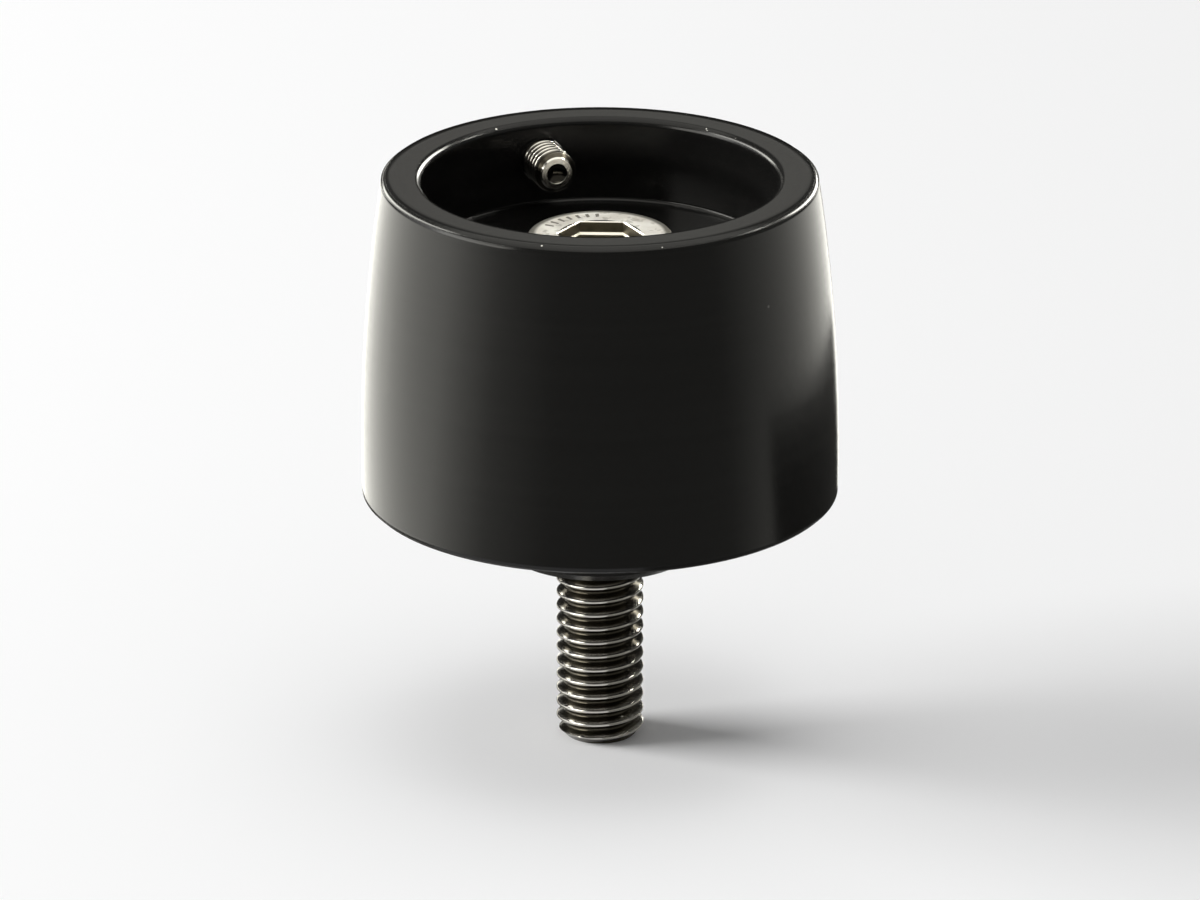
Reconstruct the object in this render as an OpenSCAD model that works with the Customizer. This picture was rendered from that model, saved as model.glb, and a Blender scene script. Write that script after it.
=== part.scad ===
// Bar end weight: a turned body held by one socket screw, with a small set screw
// through its rim. It stands on the screw's tip, mouth upward, with the axis on Z.

/* [Body] */
// Diameter of the wide end, which meets the handlebar
wide_d = 32.2; // [28:0.1:40]
// Diameter of the open end
rim_d = 29.3; // [27.5:0.1:40]
// Length of the body between its two flat ends
body_l = 22.4; // [18:0.1:28]
// How far the side bows out from a straight taper
side_bow = 0.5; // [0.1:0.05:1.2]
// Bevel on the outer edges of both ends
edge_bevel = 0.25; // [0.1:0.05:0.5]

/* [Recess] */
// Bore of the recess in the open end
recess_d = 24.1; // [20:0.1:25]
// Depth of the recess from the open end
recess_depth = 5.9; // [5:0.1:8]
// Bevel round the mouth of the recess
mouth_bevel = 0.3; // [0.1:0.05:0.5]
// Fillet round the recess floor
floor_fillet = 0.3; // [0.1:0.05:0.8]
// Bore of the pocket that the screw head sits in
pocket_d = 14; // [12:0.1:17]
// Depth of the pocket below the recess floor
pocket_depth = 4.2; // [2:0.1:6]

/* [Spigot] */
// Diameter of the spigot that centres the body in the bar
spigot_d = 13.8; // [9:0.1:18]
// Length of the spigot below the wide end
spigot_l = 4.2; // [2:0.1:8]
// Bevel on the spigot's end
spigot_bevel = 0.5; // [0.2:0.05:0.8]

/* [Fixing screw] */
// Thread diameter
screw_d = 6; // [5:0.5:6]
// Pitch of the thread
screw_pitch = 1; // [0.75:0.25:1.25]
// Length under the head
screw_l = 30; // [25:1:50]
// Bevel at the tip
tip_bevel = 0.65; // [0.3:0.05:1]
// Head diameter
head_d = 10; // [8.5:0.1:10.5]
// Head height
head_h = 6; // [5:0.1:6.5]
// Rounding of the head's top edge
head_round = 0.4; // [0.2:0.05:0.6]
// Hexagon socket, across its flats
key_af = 5; // [4:0.5:6]
// Depth of the socket's straight sides
key_depth = 3.2; // [2.5:0.1:4]
// Depth of the drill's cone at the socket's bottom
key_cone = 1.2; // [0.5:0.1:1.4]
// How far the tightened screw is turned, against the set screw
screw_turn = -21; // [-30:1:30]

/* [Set screw] */
// Thread diameter
set_d = 3; // [2.5:0.5:3]
// Pitch of the thread
set_pitch = 0.5; // [0.4:0.05:0.6]
// Length of the set screw
set_l = 5; // [4.5:0.5:6]
// How far its point stands into the recess
set_stand = 3; // [2.5:0.1:3.5]
// Distance from the open end down to its axis
set_drop = 2.8; // [2.4:0.1:3.2]
// Diameter of the flat ring at its point
point_d = 2.1; // [1.8:0.1:2.3]
// Bevel at its driven end
set_bevel = 0.25; // [0.1:0.05:0.4]
// Diameter of the cup in its point
cup_d = 1.4; // [1:0.1:1.6]
// Hexagon socket, across its flats
set_key_af = 1.5; // [1.3:0.1:1.5]
// Depth of its socket
set_key_depth = 1.8; // [1.2:0.1:2.4]

/* [Clearances] */
// Gap all round between the fixing screw and its hole
screw_gap = 0.2; // [0.1:0.05:0.4]
// Gap all round between the set screw and its hole
set_gap = 0.05; // [0.03:0.01:0.15]

/* [Hidden] */
$fn = 128;
// how far a cut runs past the face that it opens
over = 1;

// heights along the axis, from the screw's tip
seat_z = screw_l;
floor_z = seat_z + pocket_depth;
rim_z = floor_z + recess_depth;
face_z = rim_z - body_l;
spigot_z = face_z - spigot_l;

// the bowed side: one arc through both ends of the taper
taper = (wide_d - rim_d) / 2;
side_chord = norm([taper, body_l]);
side_r = side_chord ^ 2 / (8 * side_bow) + side_bow / 2;
side_x = (wide_d + rim_d) / 4 - (side_r - side_bow) * body_l / side_chord;
side_z = (face_z + rim_z) / 2 - (side_r - side_bow) * taper / side_chord;

// a metric thread's outline over one turn: how far up and how far in, as shares of its pitch
crest = 1 / 8;
depth = 0.6134;
flank = depth * tan(30);
outline = [[0, 0], [crest, 0], [crest + flank, depth], [1 - flank, depth]];
corners = len(outline);
// flat sides round a thread
sides = 24;
// turns of thread below its foot, which are trimmed off
lead = 1.3;

// a hexagon of this many millimetres across its flats
function hex_r(af) = af / 2 / cos(30);

// a square on its corner, which cuts an equal bevel from an edge
module bevel_at(x, z, size)
    translate([x, z])
    rotate(45)
        square(size * sqrt(2), center = true);

// the material left in an inner corner when its fillet is turned
module fillet_at(x, z, r)
    translate([x - r, z])
    difference() {
        square(r);
        translate([0, r]) circle(r);
    }

module body_profile() {
    difference() {
        union() {
            intersection() {
                translate([side_x, side_z]) circle(side_r, $fn = 1440);
                translate([0, face_z]) square([wide_d, body_l]);
            }
            translate([0, spigot_z]) square([spigot_d / 2, spigot_l + over]);
        }
        // recess, pocket and the hole for the screw
        difference() {
            translate([0, floor_z]) square([recess_d / 2, recess_depth + over]);
            fillet_at(recess_d / 2, floor_z, floor_fillet);
        }
        translate([0, seat_z]) square([pocket_d / 2, pocket_depth + over]);
        translate([0, spigot_z - over]) square([screw_d / 2 + screw_gap, seat_z - spigot_z + 2 * over]);
        // bevelled edges
        bevel_at(wide_d / 2, face_z, edge_bevel);
        bevel_at(rim_d / 2, rim_z, edge_bevel);
        bevel_at(recess_d / 2, rim_z, mouth_bevel);
        bevel_at(spigot_d / 2, spigot_z, spigot_bevel);
    }
}

module weight_body()
    color("#2a2a2b")
    difference() {
        rotate_extrude() body_profile();
        // threaded hole of the set screw, straight back through the rim
        translate([0, 0, rim_z - set_drop])
        rotate([-90, 0, 0])
            cylinder(d = set_d + 2 * set_gap, h = wide_d);
    }

// The skin of a thread is a strip that climbs one pitch a turn. Row k of its points runs round
// the screw at one corner of the outline, and the last side of a row joins the row one turn on.
function thread_point(d, pitch, k, i) =
    let (corner = outline[k % corners])
    let (r = d / 2 - corner.y * pitch)
    let (a = 360 * i / sides)
    [r * cos(a), r * sin(a), (floor(k / corners) + corner.x + i / sides - lead) * pitch];

function point_id(k, i) = i < sides ? k * sides + i : (k + corners) * sides;

// once round the end of the strip at row k, and back down its step
function end_loop(k) = [
    for (i = [0 : sides]) point_id(k, i),
    for (j = [corners - 1 : -1 : 1]) point_id(k + j, 0)
];

module helix(d, pitch, l) {
    rows = corners * ceil(l / pitch + 2 * lead);
    points = [for (k = [0 : rows + corners], i = [0 : sides - 1]) thread_point(d, pitch, k, i)];
    skin = [
        for (k = [0 : rows - 1], i = [0 : sides - 1], half = [0, 1])
            half == 0
                ? [point_id(k, i), point_id(k + 1, i), point_id(k + 1, i + 1)]
                : [point_id(k, i), point_id(k + 1, i + 1), point_id(k, i + 1)]
    ];
    low = end_loop(0);
    high = end_loop(rows);
    turns = len(low);
    ends = [
        for (n = [0 : turns - 1], top = [0, 1])
            top == 0
                ? [len(points), low[n], low[(n + 1) % turns]]
                : [len(points) + 1, high[(n + 1) % turns], high[n]]
    ];
    poles = [[0, 0, -2 * lead * pitch], [0, 0, (rows / corners + lead) * pitch]];
    polyhedron(concat(points, poles), concat(skin, ends));
}

// a threaded rod with a bevel at each end, from z = 0 up
module thread(d, pitch, l, foot_d, top_d)
    intersection() {
        helix(d, pitch, l);
        cylinder(d1 = foot_d, d2 = foot_d + 2 * l, h = l);
        cylinder(d1 = top_d + 2 * l, d2 = top_d, h = l);
    }

module head_profile()
    difference() {
        square([head_d / 2, head_h]);
        // rounded top edge
        translate([head_d / 2 - head_round, head_h - head_round])
        difference() {
            square(head_round + over);
            circle(head_round);
        }
    }

module fixing_screw()
    color("#b8b4ac")
    rotate(screw_turn)
    difference() {
        union() {
            thread(screw_d, screw_pitch, screw_l + over, screw_d - 2 * tip_bevel, screw_d);
            translate([0, 0, screw_l]) rotate_extrude() head_profile();
        }
        // hexagon socket, with the drill's cone at its bottom
        translate([0, 0, seat_z + head_h - key_depth]) {
            linear_extrude(key_depth + over)
                circle(hex_r(key_af), $fn = 6);
            translate([0, 0, -key_cone])
                cylinder(d1 = 0, d2 = key_af, h = key_cone);
        }
    }

// along +Z from its point, which is the end inside the recess
module set_screw()
    color("#c8c6c0")
    translate([0, recess_d / 2 - set_stand, rim_z - set_drop])
    rotate([-90, 0, 0])
    difference() {
        thread(set_d, set_pitch, set_l, point_d, set_d - 2 * set_bevel);
        // cup in the point
        translate([0, 0, -over])
            cylinder(d1 = cup_d + 2 * over, d2 = 0, h = cup_d / 2 + over);
        translate([0, 0, set_l - set_key_depth])
        linear_extrude(set_key_depth + over)
            circle(hex_r(set_key_af), $fn = 6);
    }

weight_body();
fixing_screw();
set_screw();
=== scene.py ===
# %% [markdown]
# # A bar end weight for a motorcycle handlebar
#
# Three pieces make this part: a turned black weight, the socket screw that holds it in the bar, and a
# tiny set screw through its rim. The packed frame gives the three solids at their real size. This
# lesson keeps the turned weight as it is and gives it its finish, and builds the two screws again with
# what the frame leaves out: the threads, the rounded edges and the marks of the tools that made them.

# %% Load the frame
from math import cos, pi, radians, sin, tan, tau

import bmesh
import bpy
from mathutils import Matrix, Vector


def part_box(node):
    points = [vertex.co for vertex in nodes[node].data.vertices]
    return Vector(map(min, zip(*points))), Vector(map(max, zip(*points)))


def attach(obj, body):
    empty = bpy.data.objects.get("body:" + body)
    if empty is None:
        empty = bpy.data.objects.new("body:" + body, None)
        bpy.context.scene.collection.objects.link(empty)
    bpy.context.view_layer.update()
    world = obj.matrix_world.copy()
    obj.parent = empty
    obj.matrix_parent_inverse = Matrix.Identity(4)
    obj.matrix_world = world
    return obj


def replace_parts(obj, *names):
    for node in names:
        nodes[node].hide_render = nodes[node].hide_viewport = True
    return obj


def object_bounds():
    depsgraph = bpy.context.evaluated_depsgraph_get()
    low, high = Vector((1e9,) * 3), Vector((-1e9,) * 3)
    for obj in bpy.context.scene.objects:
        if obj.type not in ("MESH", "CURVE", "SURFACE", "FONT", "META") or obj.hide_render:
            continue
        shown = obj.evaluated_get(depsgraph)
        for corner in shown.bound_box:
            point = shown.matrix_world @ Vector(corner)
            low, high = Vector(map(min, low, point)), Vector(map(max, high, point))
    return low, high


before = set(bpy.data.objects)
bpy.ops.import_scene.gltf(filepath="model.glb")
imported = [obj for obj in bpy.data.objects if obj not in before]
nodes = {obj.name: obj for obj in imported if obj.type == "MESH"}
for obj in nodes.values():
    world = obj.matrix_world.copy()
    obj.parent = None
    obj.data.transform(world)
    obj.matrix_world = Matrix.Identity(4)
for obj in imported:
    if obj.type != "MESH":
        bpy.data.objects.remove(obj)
cad_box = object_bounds()
MM = 0.001

screw_low, screw_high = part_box("fixing_screw")
set_low, set_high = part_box("set_screw")
print("nodes", sorted(nodes), "height in mm", round(cad_box[1].z / MM, 2))

# %% [markdown]
# ## The camera comes first
#
# The photograph was taken with a long lens from about twenty degrees above the table, a little to the
# left of the plane of the set screw. The same place is used here, so the ellipses of the rim and the
# foot open by the right amount. Only the field of view is narrower, because one part fills the frame.

# %% Camera
CAMERA_TURN = radians(-108.8)     # where the camera stands round the part, from the +X axis
CAMERA_REACH = 633 * MM           # its distance from the axis
CAMERA_HEIGHT = 259 * MM
AIM_HEIGHT = 20.5 * MM


def add_object(name, data):
    thing = bpy.data.objects.new(name, data)
    bpy.context.scene.collection.objects.link(thing)
    return thing


def pointing(place, aim):
    """The rotation that turns a -Z axis at one place towards an aim."""
    return (Vector(aim) - Vector(place)).to_track_quat("-Z", "Y").to_euler()


camera = add_object("camera", bpy.data.cameras.new("camera"))
camera.location = (CAMERA_REACH * cos(CAMERA_TURN), CAMERA_REACH * sin(CAMERA_TURN), CAMERA_HEIGHT)
camera.rotation_euler = pointing(camera.location, (0, 0, AIM_HEIGHT))
camera.data.sensor_width = 36
camera.data.lens = 300
camera.data.clip_start = 10 * MM
bpy.context.scene.camera = camera
print("camera looks down by", round(90 - camera.rotation_euler.x / radians(1), 1), "degrees")

# %% [markdown]
# ## Sizes of the two screws
#
# The frame gives lengths, heads and places. What is added here has standard sizes: a coarse M6 thread
# climbs one millimetre a turn and a coarse M3 thread half of that, and both are a little over six
# tenths of their pitch deep. The grooves end in a rounded root, as a rolled thread's do.

# %% Screw sizes
DEPTH_SHARE = 0.6134              # depth of a metric thread, as a share of its pitch
THREAD_LEAD = 1.3                 # turns of thread below the foot, which are squeezed flat
SCREW_PITCH = 1.0 * MM
SET_PITCH = 0.5 * MM
SCREW_R = 3.0 * MM
TIP_R = 2.35 * MM                 # the flat at the tip, which the part stands on
NECK_R = 2.38 * MM                # where the thread runs out under the head
SET_R = (set_high.z - set_low.z) / 2
HEAD_R = screw_high.x
HEAD_TOP = screw_high.z
HEAD_H = 6.0 * MM
SHANK = HEAD_TOP - HEAD_H - screw_low.z
SET_Z = (set_high.z + set_low.z) / 2
SEGMENTS = 144                    # round a screw; it splits by six, so hexagon corners fall on it
print("shank", round(SHANK / MM, 2), "head radius", round(HEAD_R / MM, 2))
print("set screw's radius", round(SET_R / MM, 2), "and height", round(SET_Z / MM, 2))

# %% [markdown]
# ## A tree that cuts a thread
#
# A thread could be a V swept along a helix and cut from a rod, but a Boolean leaves a ragged mesh.
# Here one flat grid is rolled up instead. Its columns go round the screw, and its rows step through
# the thread's outline, turn after turn. Each column is lifted by its share of the pitch, so that the
# last column meets the first one exactly one turn higher, and merging them closes the helix.

# %% Thread outline
FLANK = radians(60)               # how steeply a flank climbs, from the crest's direction
TANGENT = 0.16                    # share of the depth over which a crest, and a root, is rounded
CREST = (1 / 16, 1 / 8, 1)        # its middle and its width as shares of the pitch, and its side
ROOT = (9 / 16, 1 / 6, -1)
LIFT = 0.05                       # moves the whole outline up by this share of the pitch


def thread_outline(steps=5):
    """One turn: how far up the pitch, and how deep as a share of the full depth."""
    flat = TANGENT * DEPTH_SHARE / tan(FLANK)
    points = []
    for middle, width, side in (CREST, ROOT):
        radius = (width / 2 + flat) / sin(FLANK)
        for step in range(steps + 1):
            turn = FLANK * (2 * step / steps - 1)
            rise = radius * (cos(turn) - cos(FLANK)) / DEPTH_SHARE
            deep = TANGENT - rise if side > 0 else 1 - TANGENT + rise
            points.append((middle + radius * sin(turn), deep))
    return [(up + LIFT, deep) for up, deep in points]


OUTLINE = thread_outline()
print("points in a turn of the outline:", len(OUTLINE))
print("crest's depth as a share", round(min(deep for up, deep in OUTLINE), 3))

# %% [markdown]
# ## A helper for node trees
#
# Node trees are long to write out, because each node is made, set and linked on its own. This small
# class does the three at once. It serves Geometry Nodes, shader groups, materials and the world. A
# mask is a number that is 1 where something is and 0 elsewhere, so a product of masks is their overlap.

# %% Tree helper
class Tree:
    """A short way to write in a node tree: one call makes a node, sets it and links it."""

    def __init__(self, tree):
        self.tree = tree
        self.nodes = tree.nodes

    def add(self, kind, *values, **settings):
        node = self.nodes.new(kind)
        for key, value in settings.items():
            setattr(node, key, value)
        for at, value in enumerate(values):
            self.join(value, node.inputs[at])
        return node

    def join(self, value, socket):
        if isinstance(value, bpy.types.NodeSocket):
            self.tree.links.new(value, socket)
        elif value is not None:
            socket.default_value = value

    def math(self, operation, *values):
        return self.add("ShaderNodeMath", *values, operation=operation).outputs[0]

    def over(self, value, limit):
        return self.math("GREATER_THAN", value, limit)

    def under(self, value, limit):
        return self.math("LESS_THAN", value, limit)

    def overlap(self, first, *others):
        """The product of masks."""
        for mask in others:
            first = self.math("MULTIPLY", first, mask)
        return first


print("tree helper has", sum(callable(value) for value in vars(Tree).values()), "functions")


# %% Group helper
class Group(Tree):
    """A new node group, with its start and end nodes and its named sockets."""

    def __init__(self, name, kind):
        super().__init__(bpy.data.node_groups.new(name, kind))
        self.start = self.nodes.new("NodeGroupInput")
        self.end = self.nodes.new("NodeGroupOutput")

    def socket(self, name, way, kind, value=None):
        made = self.tree.interface.new_socket(name, in_out=way, socket_type=kind)
        if value is not None:
            made.default_value = value


print("group helper stands on", Group.__base__.__name__)

# %% [markdown]
# ## The thread's tree
#
# The tree's inputs are the sizes that a maker would state: pitch, radius, depth, length, and the cones
# that bevel both ends. A cone is only a limit on the radius that widens away from its end, so a crest
# that passes it is cut back, and the thread runs out the way it does on a real screw.

# %% Thread inputs
WELD = 0.001 * MM                 # points nearer than this become one
THREAD_INPUTS = {
    "Pitch": SCREW_PITCH,
    "Crest Radius": SCREW_R,
    "Depth": DEPTH_SHARE * SCREW_PITCH,
    "Length": SHANK,
    "Lead": THREAD_LEAD,
    "Foot Radius": TIP_R,
    "Foot Slope": 1.0,
    "Top Radius": NECK_R,
    "Top Slope": 1.0,
}


def outline_pick(t, step, which):
    """One coordinate of the outline's point with this number."""
    pick = t.add("GeometryNodeIndexSwitch", data_type="FLOAT")
    while len(pick.index_switch_items) < len(OUTLINE):
        pick.index_switch_items.new()
    t.join(step, pick.inputs["Index"])
    for at, point in enumerate(OUTLINE):
        pick.inputs[at + 1].default_value = point[which]
    return pick.outputs[0]


print("thread inputs", list(THREAD_INPUTS))


# %% Thread tree
def thread_tree():
    """Geometry nodes: a threaded rod standing on z = 0, open at both ends."""
    t = Group("thread", "GeometryNodeTree")
    for key, value in THREAD_INPUTS.items():
        t.socket(key, "INPUT", "NodeSocketFloat", value)
    t.socket("Segments", "INPUT", "NodeSocketInt", SEGMENTS)
    t.socket("Material", "INPUT", "NodeSocketMaterial")
    t.socket("Mesh", "OUTPUT", "NodeSocketGeometry")
    given = t.start.outputs
    pitch, length = given["Pitch"], given["Length"]
    per_turn = float(len(OUTLINE))

    spare = t.math("MULTIPLY", given["Lead"], 2.0)
    turns = t.math("CEIL", t.math("ADD", t.math("DIVIDE", length, pitch), spare))
    rows = t.math("MULTIPLY", turns, per_turn)
    columns = t.math("ADD", given["Segments"], 1.0)
    grid = t.add("GeometryNodeMeshGrid", 1.0, 1.0, columns, t.math("ADD", rows, 1.0)).outputs["Mesh"]

    place = t.add("ShaderNodeSeparateXYZ", t.add("GeometryNodeInputPosition").outputs[0]).outputs
    share = t.math("ADD", place["X"], 0.5)
    row = t.math("ROUND", t.math("MULTIPLY", t.math("ADD", place["Y"], 0.5), rows))
    turn = t.math("FLOOR", t.math("DIVIDE", t.math("ADD", row, 0.5), per_turn))
    step = t.math("SUBTRACT", row, t.math("MULTIPLY", turn, per_turn))
    up = outline_pick(t, step, 0)
    deep = outline_pick(t, step, 1)

    climb = t.math("SUBTRACT", t.math("ADD", t.math("ADD", turn, up), share), given["Lead"])
    z = t.math("MINIMUM", t.math("MAXIMUM", t.math("MULTIPLY", climb, pitch), 0.0), length)
    radius = t.math("SUBTRACT", given["Crest Radius"], t.math("MULTIPLY", deep, given["Depth"]))
    foot = t.math("ADD", given["Foot Radius"], t.math("MULTIPLY", z, given["Foot Slope"]))
    left = t.math("SUBTRACT", length, z)
    top = t.math("ADD", given["Top Radius"], t.math("MULTIPLY", left, given["Top Slope"]))
    radius = t.math("MINIMUM", t.math("MINIMUM", radius, foot), top)
    angle = t.math("MULTIPLY", share, tau)
    x = t.math("MULTIPLY", radius, t.math("COSINE", angle))
    y = t.math("MULTIPLY", radius, t.math("SINE", angle))

    rolled = t.add("GeometryNodeSetPosition", grid)
    t.join(t.add("ShaderNodeCombineXYZ", x, y, z).outputs[0], rolled.inputs["Position"])
    closed = t.add("GeometryNodeMergeByDistance", rolled.outputs[0])
    closed.inputs["Distance"].default_value = WELD
    real = t.add("GeometryNodeRealizeInstances", closed.outputs[0])
    painted = t.add("GeometryNodeSetMaterial", real.outputs[0])
    t.join(given["Material"], painted.inputs["Material"])
    t.join(painted.outputs[0], t.end.inputs[0])
    return t.tree


THREAD = thread_tree()
print("thread tree has", len(THREAD.nodes), "nodes")


# %% Threaded rod
def threaded_rod(name, **sizes):
    """Runs the thread tree with these sizes and returns the result as a plain mesh."""
    holder = add_object(name, bpy.data.meshes.new(name))
    modifier = holder.modifiers.new("thread", "NODES")
    modifier.node_group = THREAD
    for socket in THREAD.interface.items_tree:
        key = socket.name.lower().replace(" ", "_")
        if key in sizes:
            modifier[socket.identifier] = sizes[key]
    graph = bpy.context.evaluated_depsgraph_get()
    mesh = bpy.data.meshes.new_from_object(holder.evaluated_get(graph))
    bpy.data.objects.remove(holder)
    print(name, "rolled with", len(mesh.vertices), "points")
    return mesh


# %% [markdown]
# ## Ends that are turned
#
# Everything on a screw that isn't thread is a stack of rings: each ring is a height and a radius, and
# the radius may change with the angle, which is how a hexagon socket comes in. The rings have as many
# points as the thread has columns, so their first ring welds onto the rod's open end.

# %% Rings
def round_ring(radius, z):
    return [(radius, z)] * SEGMENTS


def hexagon_ring(flats, z, corner=1.0):
    """A hexagon by its width across flats; corner below 1 cuts its corners to a circle."""
    ring = []
    for at in range(SEGMENTS):
        turn = (at * tau / SEGMENTS) % (pi / 3) - pi / 6
        radius = flats / 2 / cos(turn)
        ring.append((min(radius, corner * flats / 2 / cos(pi / 6)), z))
    return ring


def add_rings(bm, rings, closed_at=None):
    """Skins a stack of rings, and closes the last one with a pole at this height."""
    loops = []
    for ring in rings:
        loop = []
        for at, (radius, z) in enumerate(ring):
            angle = at * tau / SEGMENTS
            loop.append(bm.verts.new((radius * cos(angle), radius * sin(angle), z)))
        loops.append(loop)
    for low, high in zip(loops, loops[1:]):
        for at in range(SEGMENTS):
            after = (at + 1) % SEGMENTS
            bm.faces.new((low[at], low[after], high[after], high[at]))
    if closed_at is not None:
        pole = bm.verts.new((0, 0, closed_at))
        for at in range(SEGMENTS):
            bm.faces.new((loops[-1][at], loops[-1][(at + 1) % SEGMENTS], pole))


print("points in a ring:", SEGMENTS)


# %% Weld and smooth
def finish_mesh(bm, mesh, sharp=radians(30)):
    """Merges doubles, turns faces outwards, smooths all but the sharp edges."""
    bmesh.ops.remove_doubles(bm, verts=bm.verts, dist=WELD / 2)
    bmesh.ops.recalc_face_normals(bm, faces=bm.faces)
    for face in bm.faces:
        face.smooth = True
    for edge in bm.edges:
        edge.smooth = len(edge.link_faces) == 2 and edge.calc_face_angle() < sharp
    bm.to_mesh(mesh)
    open_edges = sum(len(edge.link_faces) != 2 for edge in bm.edges)
    print(mesh.name, "faces", len(mesh.polygons), "open edges", open_edges)
    bm.free()


# %% [markdown]
# ## The fixing screw
#
# A cold-forged socket screw has a rolled thread, a head with a softly rounded top edge, and a hexagon
# socket that a punch pushed in. The punch leaves a tiny bevel at the socket's mouth and a drill's cone
# at its bottom. The ring round the socket carries short strokes, pressed in two arcs: they are lowered
# points of the same rings, so that they are in the mesh and catch the light like real dents.

# %% Sizes of the head
SOCKET = 5.0 * MM                 # across its flats
SOCKET_DEPTH = 3.2 * MM
SOCKET_CONE = 1.2 * MM
SOCKET_BEVEL = 0.08 * MM
SOCKET_CORNER = 0.995             # below 1, the corners of the socket's mouth are cut to a circle
CONE_R = 2.4 * MM                 # where the drill's cone starts, a small step below the flats
CONE_STEP = 0.05 * MM
SCREW_TURN = radians(-21)
HEAD_FOOT_R = 4.8 * MM            # the head's underside ends here, in a small bevel
FOOT_BEVEL = 0.2 * MM             # this high, and it runs out over these two
FOOT_OUT = 0.05 * MM
FOOT_UP = 0.1 * MM
CROWN_OUT = 0.34 * MM             # the head's top edge is rounded further down than inwards
CROWN_DOWN = 0.8 * MM
CROWN_STEPS = 8
DIMPLE_R = 1.9 * MM               # a shallow dimple in the tip
DIMPLE_DEPTH = 0.12 * MM
STROKE_DEPTH = 0.07 * MM
STROKE_FROM = 3.45 * MM           # a stroke lies between these two radii, and both its ends slope
STROKE_TO = 4.2 * MM
STROKE_SLOPE = 0.1 * MM
STROKE_ARCS = (0.27, 0.77)        # where each row of strokes starts, as a share of a turn
STROKES = [int(arc * SEGMENTS) + 4 * stroke for arc in STROKE_ARCS for stroke in range(7)]
print("strokes on the head:", len(STROKES))


# %% Fixing screw
def dented_ring(radius, z):
    """A ring on the head's face, lowered where the strokes are."""
    return [(radius, z - STROKE_DEPTH * (at in STROKES)) for at in range(SEGMENTS)]


def head_rings(foot):
    """The head from its underside, over its top, down into its socket."""
    rings = [
        round_ring(NECK_R, foot),
        round_ring(HEAD_FOOT_R, foot),
        round_ring(HEAD_R - FOOT_OUT, foot + FOOT_BEVEL),
        round_ring(HEAD_R, foot + FOOT_BEVEL + FOOT_UP),
    ]
    for step in range(CROWN_STEPS + 1):
        turn = step / CROWN_STEPS * pi / 2
        out = HEAD_R - CROWN_OUT * (1 - cos(turn))
        rings.append(round_ring(out, HEAD_TOP - CROWN_DOWN * (1 - sin(turn))))
    return rings + [
        round_ring(STROKE_TO, HEAD_TOP),
        dented_ring(STROKE_TO - STROKE_SLOPE, HEAD_TOP),
        dented_ring(STROKE_FROM + STROKE_SLOPE, HEAD_TOP),
        round_ring(STROKE_FROM, HEAD_TOP),
        hexagon_ring(SOCKET + 2 * SOCKET_BEVEL, HEAD_TOP, SOCKET_CORNER),
        hexagon_ring(SOCKET, HEAD_TOP - SOCKET_BEVEL),
        hexagon_ring(SOCKET, HEAD_TOP - SOCKET_DEPTH),
        round_ring(CONE_R, HEAD_TOP - SOCKET_DEPTH - CONE_STEP),
    ]


def fixing_screw():
    rod = threaded_rod("fixing_screw_threaded", pitch=SCREW_PITCH, crest_radius=SCREW_R, length=SHANK)
    bm = bmesh.new()
    bm.from_mesh(rod)
    add_rings(bm, [round_ring(TIP_R, 0), round_ring(DIMPLE_R, 0)], closed_at=DIMPLE_DEPTH)
    add_rings(bm, head_rings(HEAD_TOP - HEAD_H), closed_at=HEAD_TOP - SOCKET_DEPTH - SOCKET_CONE)
    finish_mesh(bm, rod)
    rod.transform(Matrix.Rotation(SCREW_TURN, 4, "Z"))
    return add_object("fixing_screw_threaded", rod)


big_screw = fixing_screw()

# %% [markdown]
# ## The set screw
#
# The little screw through the rim is the same thing at half the size, lying on its side. Its point has
# a cup, whose ring bites into what it clamps, and its other end has a hexagon socket of its own.

# %% Set screw
CUP_R = 0.72 * MM
CUP_DEPTH = 0.6 * MM
POINT_R = 1.06 * MM
DRIVEN_R = 1.15 * MM              # the flat ring at its driven end
SMALL_SOCKET = 1.5 * MM
SMALL_SOCKET_DEPTH = 1.8 * MM
SMALL_SOCKET_CONE = 0.2 * MM
SMALL_MOUTH = 0.1 * MM            # the socket's mouth is wider by this, and bevelled this far down
SMALL_BEVEL = 0.06 * MM


def set_screw():
    length = set_high.y - set_low.y
    rod = threaded_rod(
        "set_screw_threaded", pitch=SET_PITCH, crest_radius=SET_R, depth=DEPTH_SHARE * SET_PITCH,
        length=length, foot_radius=POINT_R, top_radius=DRIVEN_R,
    )
    bm = bmesh.new()
    bm.from_mesh(rod)
    add_rings(bm, [round_ring(POINT_R, 0), round_ring(CUP_R, 0)], closed_at=CUP_DEPTH)
    add_rings(bm, [
        round_ring(DRIVEN_R, length),
        hexagon_ring(SMALL_SOCKET + SMALL_MOUTH, length),
        hexagon_ring(SMALL_SOCKET, length - SMALL_BEVEL),
        hexagon_ring(SMALL_SOCKET, length - SMALL_SOCKET_DEPTH),
    ], closed_at=length - SMALL_SOCKET_DEPTH - SMALL_SOCKET_CONE)
    finish_mesh(bm, rod)
    rod.transform(Matrix.Translation((0, set_low.y, SET_Z)) @ Matrix.Rotation(radians(-90), 4, "X"))
    return add_object("set_screw_threaded", rod)


little_screw = set_screw()

# %% [markdown]
# ## Marks that the finishes share
#
# Five effects are used by more than one finish or at more than one place, so each is a node group: the
# fine rings that a turning tool leaves, the painted shade down in a thread's grooves, tiny specks of
# dust, nicks along an edge, and the softness of a turned corner. Each group gives masks or heights, and
# the finish decides what they do.

# %% A group for marks
def shader_group(name, inputs, outputs):
    t = Group(name, "ShaderNodeTree")
    t.socket("Place", "INPUT", "NodeSocketVector")
    for key, value in inputs.items():
        t.socket(key, "INPUT", "NodeSocketFloat", value)
    for key in outputs:
        t.socket(key, "OUTPUT", "NodeSocketFloat")
    return t


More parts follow.
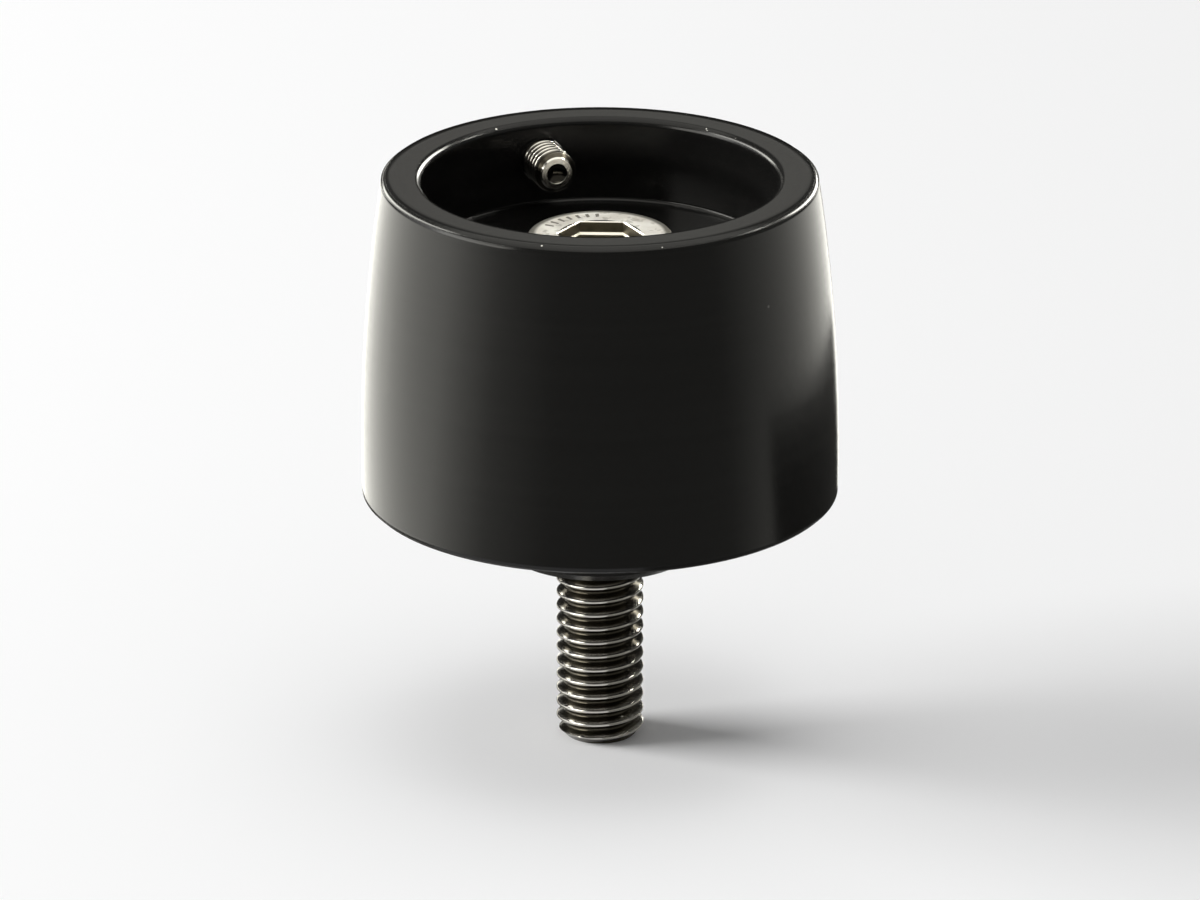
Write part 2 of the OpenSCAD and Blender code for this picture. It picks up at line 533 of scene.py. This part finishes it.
def axis_distance(t, place):
    """Radius from the Z axis, and height along it."""
    parts = t.add("ShaderNodeSeparateXYZ", place).outputs
    flat = t.add("ShaderNodeCombineXYZ", parts["X"], parts["Y"], 0.0).outputs[0]
    radius = t.add("ShaderNodeVectorMath", flat, operation="LENGTH").outputs["Value"]
    return radius, parts["Z"]


def ring_distance(t, given):
    """How far away a ring round the Z axis is, given by its radius and height."""
    radius, z = axis_distance(t, given["Place"])
    across = t.math("SUBTRACT", radius, given["Ring Radius"])
    along = t.math("SUBTRACT", z, given["Ring Height"])
    return t.math("SQRT", t.math("ADD", t.math("POWER", across, 2.0), t.math("POWER", along, 2.0)))


RIM_Z = cad_box[1].z
RIM_R = 14.65 * MM                # the rim's outer edge
print("rim at", round(RIM_Z / MM, 2), "mm")


# %% Turning marks
SLANT = 1.7                       # how much more a step outwards counts than a step along the axis


def turning_marks():
    """Rings left by a tool: along the axis on a side, and outwards on a face."""
    t = shader_group("turning marks", {"Feed": 0.09 * MM, "Wander": 0.25}, ("Height", "Tone"))
    given = t.start.outputs
    radius, z = axis_distance(t, given["Place"])
    path = t.math("DIVIDE", t.math("SUBTRACT", z, t.math("MULTIPLY", radius, SLANT)), given["Feed"])
    fine = t.add("ShaderNodeTexNoise", noise_dimensions="1D")
    t.join(path, fine.inputs["W"])
    fine.inputs["Scale"].default_value = 1.0
    fine.inputs["Detail"].default_value = 2.0
    broad = t.add("ShaderNodeTexNoise", noise_dimensions="1D")
    t.join(path, broad.inputs["W"])
    broad.inputs["Scale"].default_value = 0.08
    cloud = t.add("ShaderNodeTexNoise", given["Place"])
    cloud.inputs["Scale"].default_value = 160.0
    t.join(fine.outputs[0], t.end.inputs["Height"])
    mixed = t.math("MULTIPLY", cloud.outputs[0], given["Wander"])
    t.join(t.math("ADD", t.math("MULTIPLY", broad.outputs[0], 0.75), mixed), t.end.inputs["Tone"])
    return t.tree


TURNING = turning_marks()
print(TURNING.name, "has", len(TURNING.nodes), "nodes")


# %% Groove shade
SCREW_ROOT_R = SCREW_R - DEPTH_SHARE * SCREW_PITCH
SET_ROOT_R = SET_R - DEPTH_SHARE * SET_PITCH


def groove_shade():
    """0 on a thread's crest and 1 at its root; nothing inside the core or above the thread's top."""
    inputs = {"Crest": SCREW_R, "Root": SCREW_ROOT_R, "Core": 0.97 * SCREW_ROOT_R, "Top": SHANK}
    t = shader_group("groove shade", inputs, ("Shade",))
    given = t.start.outputs
    radius, z = axis_distance(t, given["Place"])
    ramp = t.add("ShaderNodeMapRange", radius, given["Crest"], given["Root"], 0.0, 1.0).outputs[0]
    shade = t.overlap(ramp, t.over(radius, given["Core"]), t.under(z, given["Top"]))
    t.join(shade, t.end.inputs["Shade"])
    return t.tree


GROOVES = groove_shade()
print("grooves down to", round(SCREW_ROOT_R / MM, 3), "and", round(SET_ROOT_R / MM, 3), "mm")


# %% Specks and nicks
def lottery(t, given):
    """Round dots, one to a cell, of which only the given share is drawn."""
    cells = t.add("ShaderNodeTexVoronoi", given["Place"])
    t.join(given["Scale"], cells.inputs["Scale"])
    lot = t.add("ShaderNodeSeparateColor", cells.outputs["Color"]).outputs[0]
    return t.overlap(t.under(cells.outputs["Distance"], given["Size"]), t.under(lot, given["Amount"]))


def specks():
    """Sparse dots of dust."""
    t = shader_group("specks", {"Scale": 900.0, "Amount": 0.03, "Size": 0.14}, ("Mask",))
    t.join(lottery(t, t.start.outputs), t.end.inputs["Mask"])
    return t.tree


def edge_nicks():
    """Tiny bright nicks along one round edge, given by its radius and height."""
    inputs = {"Ring Radius": RIM_R, "Ring Height": RIM_Z, "Width": 0.16 * MM}
    dots = {"Scale": 3200.0, "Amount": 0.06, "Size": 0.24}
    t = shader_group("edge nicks", inputs | dots, ("Mask",))
    given = t.start.outputs
    near = t.under(ring_distance(t, given), given["Width"])
    t.join(t.overlap(lottery(t, given), near), t.end.inputs["Mask"])
    return t.tree


SPECKS = specks()
NICKS = edge_nicks()
print(SPECKS.name, "and", NICKS.name, "have", len(SPECKS.nodes), "and", len(NICKS.nodes), "nodes")

# %% [markdown]
# ## Softened corners
#
# A tool and a tumbling barrel leave no corner on the weight quite sharp, and the eye finds a corner by
# the light along it. The frame's own solid isn't to be changed, so no bevel is cut. A dip in the bump
# height round each corner leans the normals over instead, which is what a small rounding would do.

# %% Softened corners
def soft_corner():
    """A dip round one ring-shaped corner, in millimetres, which leans its normals like a rounding."""
    inputs = {"Ring Radius": RIM_R, "Ring Height": RIM_Z, "Width": 0.2 * MM, "Slope": 0.414}
    t = shader_group("soft corner", inputs, ("Height",))
    given = t.start.outputs
    within = t.math("MAXIMUM", t.math("SUBTRACT", given["Width"], ring_distance(t, given)), 0.0)
    steep = t.math("DIVIDE", given["Slope"], t.math("MULTIPLY", given["Width"], 2.0))
    dip = t.math("MULTIPLY", t.math("MULTIPLY", within, within), steep)
    t.join(t.math("MULTIPLY", dip, -1.0 / MM), t.end.inputs["Height"])
    return t.tree


CORNERS = soft_corner()
print(CORNERS.name, "has", len(CORNERS.nodes), "nodes")

# %% [markdown]
# ## A short way to write a finish
#
# A material is a node tree with one Principled shader, so it takes the same helper as the groups. The
# shader and its plain numbers stay in the material, and the shared groups only feed what changes over
# the surface. Patterns read Object coordinates, which stay put when the part is moved or viewed.

# %% Finish helper
MIX_LOW = 6                       # the two colour inputs of a Mix node, and its colour output
MIX_HIGH = 7
MIX_RESULT = 2


class Finish(Tree):
    """A material: the Principled shader stays here, and groups feed its sockets."""

    def __init__(self, name, centre=None, turn=(0, 0, 0)):
        self.material = bpy.data.materials.new(name)
        self.material.use_nodes = True
        super().__init__(self.material.node_tree)
        self.shader = self.nodes["Principled BSDF"]
        self.place = self.add("ShaderNodeTexCoord").outputs["Object"]
        if centre is not None:
            mapping = self.add("ShaderNodeMapping", self.place, vector_type="TEXTURE")
            mapping.inputs["Location"].default_value = centre
            mapping.inputs["Rotation"].default_value = turn
            self.place = mapping.outputs[0]

    def set(self, name, value):
        self.join(value, self.shader.inputs[name])

    def group(self, tree, **values):
        node = self.add("ShaderNodeGroup", node_tree=tree)
        self.join(self.place, node.inputs["Place"])
        for key, value in values.items():
            self.join(value, node.inputs[key.replace("_", " ").title()])
        return node.outputs

    def noise(self, scale, detail=2.0):
        node = self.add("ShaderNodeTexNoise", self.place)
        node.inputs["Scale"].default_value = scale
        node.inputs["Detail"].default_value = detail
        return node.outputs[0]

    def mix(self, share, low, high):
        node = self.add("ShaderNodeMix", data_type="RGBA")
        self.join(share, node.inputs["Factor"])
        for value, at in ((low, MIX_LOW), (high, MIX_HIGH)):
            plain = not isinstance(value, bpy.types.NodeSocket)
            self.join((*value, 1) if plain else value, node.inputs[at])
        return node.outputs[MIX_RESULT]

    def between(self, value, low, high, start=0.0, end=1.0):
        return self.add("ShaderNodeMapRange", value, start, end, low, high).outputs[0]

    def bump(self, height, distance, strength=1.0, below=None):
        node = self.add("ShaderNodeBump")
        node.inputs["Distance"].default_value = distance
        node.inputs["Strength"].default_value = strength
        self.join(height, node.inputs["Height"])
        if below is not None:
            self.join(below, node.inputs["Normal"])
        return node.outputs[0]


print("finish helper stands on", Finish.__base__.__name__)

# %% [markdown]
# ## Black anodising
#
# Anodising grows a thin dyed layer of oxide on aluminium that follows every tool mark, so the weight is
# black and yet mirrors its surroundings at a grazing angle. The tool's rings are a fine bump. Bare metal
# shows only in a few tiny nicks along the edges, and a speck of dust lies here and there.

# %% Black anodising
NICKED_EDGES = [(14.5, 40.1), (12.3, 40.1), (16.1, 17.7)]    # radius and height in mm
SOFT_CORNERS = [                  # radius, height and how far the rounding reaches, in mm
    (14.4, 40.1, 0.62),
    (14.66, 39.85, 0.25),
    (12.35, 40.1, 0.2),
    (12.05, 39.8, 0.2),
    (16.13, 17.95, 0.32),
    (15.85, 17.7, 0.2),
]


def black_anodised():
    """Near black, with tool rings, a soft cloud in its polish, soft corners, nicks and dust."""
    f = Finish("black_anodised")
    rings = f.group(TURNING)
    dust = f.group(SPECKS, scale=700.0, amount=0.012, size=0.07)["Mask"]
    bare = 0.0
    for radius, height in NICKED_EDGES:
        nicks = f.group(NICKS, ring_radius=radius * MM, ring_height=height * MM)
        bare = f.math("MAXIMUM", bare, nicks["Mask"])
    dips = 0.0
    for radius, height, width in SOFT_CORNERS:
        corner = f.group(CORNERS, ring_radius=radius * MM, ring_height=height * MM, width=width * MM)
        dips = f.math("ADD", dips, corner["Height"])
    tone = f.mix(rings["Tone"], (0.0035, 0.0035, 0.0033), (0.0070, 0.0068, 0.0063))
    tone = f.mix(dust, tone, (0.08, 0.078, 0.072))
    f.set("Base Color", f.mix(bare, tone, (0.60, 0.59, 0.57)))
    f.set("Metallic", bare)
    cloud = f.between(f.noise(2600.0, 3.0), -0.06, 0.06)
    f.set("Roughness", f.math("ADD", f.between(rings["Tone"], 0.16, 0.24), cloud))
    f.set("IOR", 1.33)
    f.set("Normal", f.bump(dips, 1 * MM, below=f.bump(rings["Height"], 0.0006 * MM)))
    return f.material


print("nicked edges", len(NICKED_EDGES), "softened corners", len(SOFT_CORNERS))

# %% [markdown]
# ## Stainless steel
#
# Both screws are plain stainless: a warm grey metal. Their crests keep the metal's colour, and down in
# the grooves the colour is painted brown and darker as painted shade, and is less of a mirror. The
# groove group tells one from the other by the distance from the screw's axis.

# %% Stainless steel
def steel(name, crest, root, top, feed, centre=None, turn=(0, 0, 0)):
    """A threaded piece of stainless steel; colour and roughness are kept for the caller to join."""
    f = Finish(name, centre, turn)
    rings = f.group(TURNING, feed=feed)
    shade = f.group(GROOVES, crest=crest, root=root, core=0.97 * root, top=top)["Shade"]
    dust = f.group(SPECKS, scale=1400.0, amount=0.03)["Mask"]
    grain = f.noise(700.0, 4.0)
    metal = f.mix(grain, (0.60, 0.575, 0.535), (0.76, 0.74, 0.70))
    # The grooves are painted dark brown here, as painted shade.
    painted_groove_shade = f.mix(grain, (0.035, 0.031, 0.024), (0.110, 0.100, 0.077))
    deep = f.between(f.math("ADD", shade, f.between(grain, -0.15, 0.15)), 0.0, 1.0, 0.08, 0.42)
    deep = f.overlap(deep, f.over(shade, 0.001))
    f.colour = f.mix(dust, f.mix(deep, metal, painted_groove_shade), (0.75, 0.74, 0.71))
    f.rough = f.between(deep, 0.15, 0.22)
    f.set("Metallic", 1.0)
    f.normal = f.bump(rings["Height"], 0.0010 * MM, below=f.bump(grain, 0.0012 * MM))
    return f


print("steel of the threads, crest and root", round(SCREW_R / MM, 2), round(SCREW_ROOT_R / MM, 2))

# %% [markdown]
# ## The fixing screw's steel
#
# The head is struck when it is forged and handled by a key after that. So its face is scuffed in
# patches. The rolled edge and the socket are painted dark as painted shade, and the strokes are painted
# darker. The socket's painted shade stops at one band painted bright as a painted highlight. Each place
# is told by its radius and height.

# %% The fixing screw's steel
SCREW_FEED = 0.12 * MM            # from one ring of the tool to the next
SOCKET_REACH = 2.93 * MM          # just past the socket's corners
SOCKET_LIP = 0.06 * MM            # the socket's painted shade starts this far below the face
HEAD_FLOOR = SHANK + 0.5 * MM     # and stays above this height
LEDGE_DROP = 0.80 * MM             # how far down the socket the band painted as a highlight is
LEDGE_HALF = 0.10 * MM
FACE_FROM = 2.8 * MM              # the struck face: from this radius out, and this far down
FACE_DROP = 0.12 * MM
DENT_FROM = 3.35 * MM             # the strokes are painted darker between these radii, below the face
DENT_DROP = 0.02 * MM
ROLLED_FROM = 4.25 * MM           # the edge's painted shade comes in between these radii
ROLLED_TO = 4.5 * MM


def stainless():
    """The fixing screw: its struck face is scuffed, and its socket is painted dark as shade but for a
    band painted bright as a highlight.
    """
    f = steel("stainless", SCREW_R, SCREW_ROOT_R, SHANK, SCREW_FEED)
    radius, z = axis_distance(f, f.place)
    drop = f.math("SUBTRACT", HEAD_TOP - SOCKET_LIP, z)
    socket = f.overlap(f.under(radius, SOCKET_REACH), f.over(drop, 0.0), f.over(z, HEAD_FLOOR))
    # The socket is painted dark inside, as painted shade.
    painted_socket_shading = f.mix(f.noise(900.0, 3.0), (0.10, 0.088, 0.062), (0.34, 0.31, 0.24))
    # A band down the socket is painted bright, as a painted highlight; a small bump step goes with it.
    painted_socket_highlight = f.under(f.math("ABSOLUTE", f.math("SUBTRACT", drop, LEDGE_DROP)), LEDGE_HALF)
    painted_socket_shading = f.mix(painted_socket_highlight, painted_socket_shading, (0.95, 0.91, 0.80))
    step = f.between(drop, 0.0, 1.0, LEDGE_DROP - LEDGE_HALF, LEDGE_DROP + LEDGE_HALF)

    face = f.overlap(f.over(z, HEAD_TOP - FACE_DROP), f.over(radius, FACE_FROM))
    dent = f.overlap(face, f.under(z, HEAD_TOP - DENT_DROP))
    dent = f.overlap(dent, f.under(radius, STROKE_TO), f.over(radius, DENT_FROM))
    patches = f.between(f.noise(420.0, 3.0), 0.0, 0.8, 0.4, 0.6)
    scuffs = f.between(f.noise(1900.0, 4.0), 0.0, 1.0, 0.56, 0.64)
    rolled = f.between(radius, 0.0, 1.0, ROLLED_FROM, ROLLED_TO)
    colour = f.mix(f.overlap(face, patches), f.colour, (0.88, 0.87, 0.84))
    colour = f.mix(f.overlap(face, scuffs, 0.6), colour, (0.36, 0.34, 0.30))
    # The rolled edge is painted dark, as painted shade.
    colour = f.mix(f.overlap(face, rolled, 0.9), colour, (0.12, 0.115, 0.10))
    # The strokes are painted darker.
    colour = f.mix(f.overlap(dent, 0.85), colour, (0.10, 0.09, 0.07))
    f.set("Base Color", f.mix(socket, colour, painted_socket_shading))
    rough = f.math("ADD", f.rough, f.overlap(face, 0.33))
    f.set("Roughness", f.math("ADD", rough, f.overlap(socket, 0.25)))
    f.set("Normal", f.bump(f.overlap(socket, step), 0.16 * MM, below=f.normal))
    return f.material


print("worn band", round(2 * LEDGE_HALF / MM, 2), "mm high")


# %% The set screw's steel
SET_FEED = 0.07 * MM
SET_TOP = 1.0                     # in metres: far above the screw, so that all of its thread gets the painted groove shade
CUP_REACH = 1.0 * MM              # how far in from its point the cup's painted shade reaches


def stainless_set_screw():
    """The set screw, whose cup is painted dark inside, as painted shade. A Mapping node lays its pattern
    on its side.
    """
    f = steel(
        "stainless_set_screw", SET_R, SET_ROOT_R, SET_TOP, SET_FEED,
        centre=(0, set_low.y, SET_Z), turn=(radians(-90), 0, 0),
    )
    radius, z = axis_distance(f, f.place)
    cup = f.overlap(f.under(radius, 0.98 * CUP_R), f.under(z, CUP_REACH))
    # The cup is painted dark inside, as painted shade.
    f.set("Base Color", f.mix(cup, f.colour, (0.07, 0.065, 0.055)))
    f.set("Roughness", f.rough)
    f.set("Normal", f.normal)
    return f.material


print("cup's radius", round(CUP_R / MM, 2), "mm")

# %% [markdown]
# ## Dressing the pieces
#
# The weight is the frame's own solid, and only its material changes. The two screws are the new meshes.

# %% Dress the pieces
def dress(piece, material):
    piece.data.materials.clear()
    piece.data.materials.append(material)
    print(piece.name, "wears", material.name)


dress(nodes["weight_body"], black_anodised())
dress(big_screw, stainless())
dress(little_screw, stainless_set_screw())

# %% [markdown]
# ## Floor and lamps
#
# The part stands on a plain white table under two soft lamps: a low one on the left, which draws the
# screw's shadow to the right, and a broad one overhead, which makes the pool of shade under the body.
# Each is given by its share of the light on the floor, and the world gives the rest, so that white
# stays just under full brightness.

# %% Floor
def studio(right, back, up):
    """A point given from the camera's side: to its right, away from it, and up."""
    out = Vector((-cos(CAMERA_TURN), -sin(CAMERA_TURN), 0))
    side = Vector((-sin(CAMERA_TURN), cos(CAMERA_TURN), 0))
    return side * right + out * back + Vector((0, 0, up))


def stage_mesh(name, corners, faces, material):
    mesh = bpy.data.meshes.new(name)
    mesh.from_pydata(corners, [], faces)
    mesh.materials.append(material)
    thing = add_object(name, mesh)
    return thing


def floor_finish():
    f = Finish("floor_white")
    f.set("Base Color", (0.93, 0.93, 0.93, 1))
    f.set("Roughness", 0.9)
    f.set("Specular IOR Level", 0.0)
    return f.material


FLOOR_HALF = 3.0
SQUARE = ((-1, -1), (1, -1), (1, 1), (-1, 1))
corners = [(FLOOR_HALF * x, FLOOR_HALF * y, 0) for x, y in SQUARE]
stage_mesh("floor", corners, [(0, 1, 2, 3)], floor_finish())
print("floor", 2 * FLOOR_HALF, "metres wide")

# %% Lamps
SKY_SHARE = 0.36
LAMP_AIM = (0, 0, 20 * MM)


def soft_lamp(name, place, size, share):
    """A wide lamp that gives this share of a full white on the floor."""
    lamp = bpy.data.lights.new(name, "AREA")
    lamp.shape = "RECTANGLE"
    lamp.size, lamp.size_y = size
    lamp.energy = share * pi ** 2 * place.length ** 3 / place.z
    thing = add_object(name, lamp)
    thing.location = place
    thing.rotation_euler = pointing(place, LAMP_AIM)
    print(name, "power", round(lamp.energy, 1), "watts")


soft_lamp("key", studio(-1.0, 0.09, 0.36), (0.7, 0.5), 0.51)
soft_lamp("top", studio(0, 0.06, 1.2), (0.9, 0.9), 0.22)

# %% [markdown]
# ## Cards
#
# A black or bright metal part is lit by what it mirrors, so a photographer stands cards round it: white
# ones for long highlights, dark ones to keep its front black. Each card here is a strip swept round the
# part, from one angle to another as seen from above, with the camera at zero and its right positive. A
# dark flag on the right makes the dark band there, and a dark skirt under the body keeps the room out of
# the thread's sides. Reflections see the cards, and the floor, the shadows and the camera don't.

# %% Cards
def card_finish():
    f = Finish("card_glow")
    glow = f.add("ShaderNodeAttribute", attribute_name="glow").outputs["Color"]
    f.set("Base Color", (0, 0, 0, 1))
    f.set("Specular IOR Level", 0.0)
    f.set("Emission Color", glow)
    f.set("Emission Strength", 1.0)
    return f.material


WARM = (1.0, 0.985, 0.91)
CARD_FINISH = card_finish()
CARD_STEP = 5                     # degrees from one row of a card to the next


def stage_strip(name, rows, glows):
    """Skins rows of points, each with its own glow, as a strip that only reflections see."""
    wide = len(rows[0])
    faces = []
    for at in range(0, (len(rows) - 1) * wide, wide):
        faces += [(at + k, at + k + 1, at + k + 1 + wide, at + k + wide) for k in range(wide - 1)]
    strip = stage_mesh(name, [point for row in rows for point in row], faces, CARD_FINISH)
    layer = strip.data.color_attributes.new("glow", "FLOAT_COLOR", "POINT")
    for at, spot in enumerate(layer.data):
        spot.color = (*(glows[at // wide] * part for part in WARM), 1)
    strip.visible_camera = False
    strip.visible_diffuse = False
    strip.visible_shadow = False


def card(name, left, right, outline, glow_left, glow_right):
    """Sweeps an outline of (reach, height) points from the left angle to the right one."""
    steps = max(2, round((right - left) / CARD_STEP))
    rows, glows = [], []
    for step in range(steps + 1):
        share = step / steps
        turn = radians(left + (right - left) * share)
        rows.append([studio(reach * sin(turn), -reach * cos(turn), height) for reach, height in outline])
        glows.append(glow_left + (glow_right - glow_left) * share)
    stage_strip(name, rows, glows)


print("card finish", CARD_FINISH.name)

# %% The room in cards
NEAR = 0.036                      # how far out, in metres, the cards on the table start
MIDDLE = 0.100
ROOM = 0.6
LOW = 0.0003                      # how high, in metres: just above the floor
EDGE = 0.03
SHELF = 0.165
WALL_TOP = 0.48
TABLE = [(NEAR, LOW), (ROOM, LOW), (ROOM, EDGE)]
FAR_TABLE = [(MIDDLE, LOW), (ROOM, LOW), (ROOM, EDGE)]
FLAG = [(NEAR, LOW), (MIDDLE, LOW)]
WALL = [(ROOM, EDGE), (ROOM, WALL_TOP)]
BOX = [(0.3, 0.06), (0.3, 0.22)]
UNDER = [(0.0036, LOW), (0.035, LOW)]
BEHIND = [(NEAR, LOW), (ROOM, LOW), (ROOM, SHELF)]
LOW_BACK = [(ROOM, LOW), (ROOM, SHELF)]
BACK = [(ROOM, SHELF), (ROOM, WALL_TOP)]
TENT = [(ROOM, WALL_TOP), (0.26, 0.31)]
ROOF = [(0.02, 0.3), (0.25, 0.3)]
SKIRT = [(0.0300, 0.0045), (0.0164, 0.0170)]
CARDS = [                         # name, left and right angle, outline, glow at the left and the right
    ("left_card", -168, -82, TABLE, 2.9, 2.9),
    ("left_fringe", -82, -52, TABLE, 2.9, 0.8),
    ("front_left_card", -52, -24, TABLE, 0.8, 0.30),
    ("front_card", -24, 58, TABLE, 0.30, 0.30),
    ("front_right_card", 58, 82, TABLE, 0.30, 0.9),
    ("right_flag", 82, 152, FLAG, 0.05, 0.05),
    ("right_card", 82, 128, FAR_TABLE, 0.9, 2.0),
    ("edge_card", 128, 162, FAR_TABLE, 2.0, 2.8),
    ("edge_near", 152, 162, FLAG, 2.8, 2.8),
    ("dark_wall", -125, 118, WALL, 0.25, 0.25),
    ("behind_card", 162, 192, BEHIND, 0.03, 0.03),
    ("behind_right", 118, 162, LOW_BACK, 0.05, 0.05),
    ("behind_left", 192, 235, LOW_BACK, 0.05, 0.05),
    ("back_wall", 168, 192, BACK, 0.50, 0.50),
    ("back_right", 118, 168, BACK, 0.12, 0.12),
    ("back_left", 192, 235, BACK, 0.12, 0.12),
    ("tent", 0, 360, TENT, 0.15, 0.15),
    ("skirt", 78, 282, SKIRT, 0.05, 0.05),
    ("top_card", 0, 360, ROOF, 1.5, 1.5),
    ("left_box", -92, -48, BOX, 5.0, 6.0),
    ("shade_right", 18, 125, UNDER, 0.16, 0.16),
    ("shade_left", -165, -78, UNDER, 0.16, 0.16),
]
for row in CARDS:
    card(*row)
print("cards", len(CARDS))

# %% [markdown]
# ## Softboxes, placed by the law of reflection
#
# The bevels round the mouth lean by 45 degrees, and each shows one thin curve of the room. A light that
# is to shine in a bevel has to stand on that curve: so the strips below are swept through the directions
# in which a bevel mirrors the camera, from one angle round the rim to another.

# %% Softboxes
MOUTH = Vector((0, 0, RIM_Z))
BOX_REACH = 0.5                   # how far away a softbox stands
NEAR_REACH = 0.09                 # the left one stands near, so that only one side of the rim sees it
BEVEL_R = 14.5 * MM               # the rim's outer bevel
BOX_STEPS = 10
A_LITTLE = 0.01                   # the turn that finds which way the curve runs


def bevel_view(turn):
    """Where a 45 degree bevel mirrors the camera to, when it faces this way as seen from above."""
    normal = studio(sin(turn), -cos(turn), 1.0).normalized()
    look = (camera.location - MOUTH).normalized()
    return 2 * look.dot(normal) * normal - look


def softbox(name, left, right, wide, glow_left, glow_right, ring=0.0, reach=BOX_REACH):
    """A strip along what a bevel mirrors, from one angle round the rim to another."""
    rows, glows = [], []
    for step in range(BOX_STEPS + 1):
        share = step / BOX_STEPS
        turn = radians(left + (right - left) * share)
        middle = bevel_view(turn)
        along = bevel_view(turn + A_LITTLE) - middle
        out = middle.cross(along).normalized() * wide / 2
        spot = MOUTH + ring * studio(sin(turn), -cos(turn), 0) + reach * middle
        rows.append([spot - out, spot + out])
        glows.append(glow_left + (glow_right - glow_left) * share)
    stage_strip(name, rows, glows)
    print(name, "from", [round(v, 2) for v in rows[0][0]], "to", [round(v, 2) for v in rows[-1][0]])


softbox("softbox_high", 26, 48, 0.12, 38, 38)
softbox("softbox_low", 60, 88, 0.12, 30, 12)
softbox("softbox_left", -84, -42, 0.022, 8, 16, BEVEL_R, NEAR_REACH)

# %% [markdown]
# ## World
#
# A white world stands for the rest of the room. The camera and the mirrors see it at full white, as the
# photograph's background is, and as light it gives only its share, so that the floor isn't overexposed.

# %% World
world = bpy.data.worlds.new("studio")
bpy.context.scene.world = world
world.use_nodes = True
w = Tree(world.node_tree)
sky = w.nodes["Background"]
sky.inputs["Color"].default_value = (1, 1, 1, 1)
rays = w.add("ShaderNodeLightPath").outputs
mirrored = w.math("MAXIMUM", rays["Is Glossy Ray"], rays["Is Transmission Ray"])
seen = w.math("MAXIMUM", rays["Is Camera Ray"], mirrored)
strength = w.add("ShaderNodeMapRange", seen, 0.0, 1.0, SKY_SHARE, 1.0).outputs[0]
w.join(strength, sky.inputs["Strength"])
bpy.context.scene.view_settings.view_transform = "Standard"
print("world gives", SKY_SHARE, "of a full white")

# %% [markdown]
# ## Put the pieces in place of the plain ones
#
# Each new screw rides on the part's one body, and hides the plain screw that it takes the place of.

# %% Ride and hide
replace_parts(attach(big_screw, "root"), "fixing_screw")
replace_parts(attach(little_screw, "root"), "set_screw")
